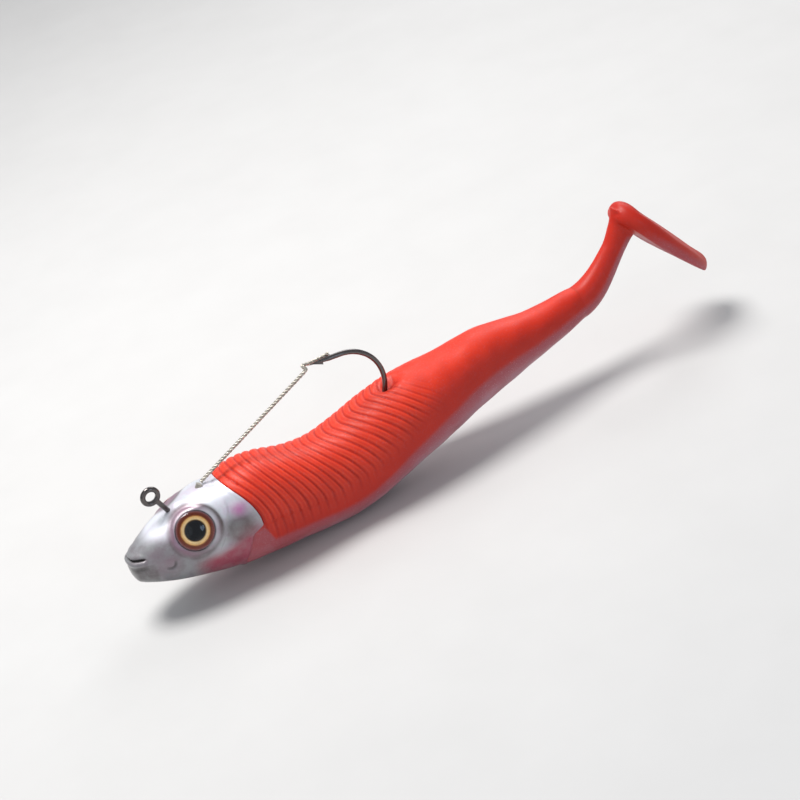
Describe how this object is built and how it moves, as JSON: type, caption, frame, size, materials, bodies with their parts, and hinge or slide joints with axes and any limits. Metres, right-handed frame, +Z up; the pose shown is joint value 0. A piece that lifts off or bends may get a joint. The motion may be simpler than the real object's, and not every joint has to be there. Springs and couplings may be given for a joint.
{
  "type": "swimbait",
  "caption": "Soft paddle-tail swimbait on a fish-shaped jig head with a single hook and a sprung wire weed guard.",
  "frame": {"origin": "centre of the line-tie eye", "axes": "+X back along the body to the tail, +Z up through the back, -Y to the lure's left side"},
  "size_m": [0.1458, 0.0186, 0.0353],
  "materials": {
    "pearl_paint": "pearl gloss over cast lead alloy",
    "hook_wire": "dark nickel",
    "guard_strand": "twisted bare strand",
    "guard_ferrule": "tinned",
    "eye_foil": "printed foil, black pupil with gold ring",
    "eye_dome": "clear resin",
    "back_plastic": "glossy soft plastic",
    "belly_plastic": "pearl soft plastic",
    "tail_plastic": "glossy soft plastic"
  },
  "bodies": {
    "root": {"head_casting": "pearl_paint", "hook": "hook_wire", "guard_ferrule": "guard_ferrule", "eye_foil_left": "eye_foil", "eye_foil_right": "eye_foil", "eye_dome_left": "eye_dome", "eye_dome_right": "eye_dome", "front_body_upper": "back_plastic", "front_body_belly": "belly_plastic"},
    "middle": {"middle_body_upper": "back_plastic", "middle_body_belly": "belly_plastic"},
    "rear": {"rear_body_upper": "back_plastic", "rear_body_belly": "belly_plastic"},
    "stem": {"tail_stem": "tail_plastic"},
    "paddle": {"paddle": "tail_plastic"},
    "guard": {"weed_guard": "guard_strand"}
  },
  "joints": [
    {"name": "body_flex", "type": "hinge", "parent": "root", "child": "middle", "pos_m": [0.062, 0, -0.01127], "axis": [0, 0, 1], "range_deg": [-18, 18], "stiffness_Nm_per_rad": 0.01},
    {"name": "rear_flex", "type": "hinge", "parent": "middle", "child": "rear", "pos_m": [0.083, 0, -0.00885], "axis": [0, 0, 1], "range_deg": [-18, 18], "stiffness_Nm_per_rad": 0.004},
    {"name": "tail_flex", "type": "hinge", "parent": "rear", "child": "stem", "pos_m": [0.103, 0, -0.00701], "axis": [0, 0, 1], "range_deg": [-30, 30], "stiffness_Nm_per_rad": 0.001},
    {"name": "paddle_twist", "type": "hinge", "parent": "stem", "child": "paddle", "pos_m": [0.1176, 0, 0.0031], "axis": [0.7737, 0, 0.6336], "range_deg": [-25, 25], "stiffness_Nm_per_rad": 0.0005},
    {"name": "guard_press", "type": "hinge", "parent": "root", "child": "guard", "pos_m": [0.0108, 0, -0.0025], "axis": [0, 1, 0], "range_deg": [-8, 18], "stiffness_Nm_per_rad": 0.02}
  ],
  "couplings": [
    {"joint": "rear_flex", "follows": "body_flex", "ratio": 1}
  ]
}
